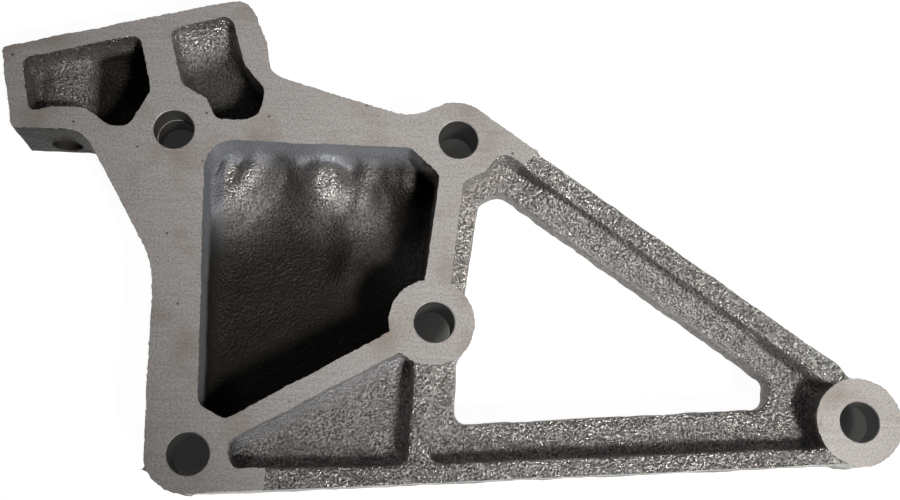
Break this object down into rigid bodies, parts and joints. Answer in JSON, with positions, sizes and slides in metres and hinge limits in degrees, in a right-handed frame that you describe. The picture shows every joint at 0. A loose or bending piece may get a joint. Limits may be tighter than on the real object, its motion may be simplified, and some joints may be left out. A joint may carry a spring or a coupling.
{
  "type": "engine mounting bracket",
  "caption": "Flat cast iron engine bracket: a walled plate with a machined face and bolt holes, and a triangular frame reaching out to an end boss.",
  "frame": {"origin": "centre of bolt hole A in the plane of the machined face", "axes": "+X from bolt hole A to bolt hole B, +Z out of the machined face"},
  "size_m": [0.2923, 0.161, 0.026],
  "materials": {
    "casting": "rough as cast, with one face machined flat and dull grey"
  },
  "bodies": {
    "root": {"bracket_casting": "casting"}
  },
  "joints": []
}
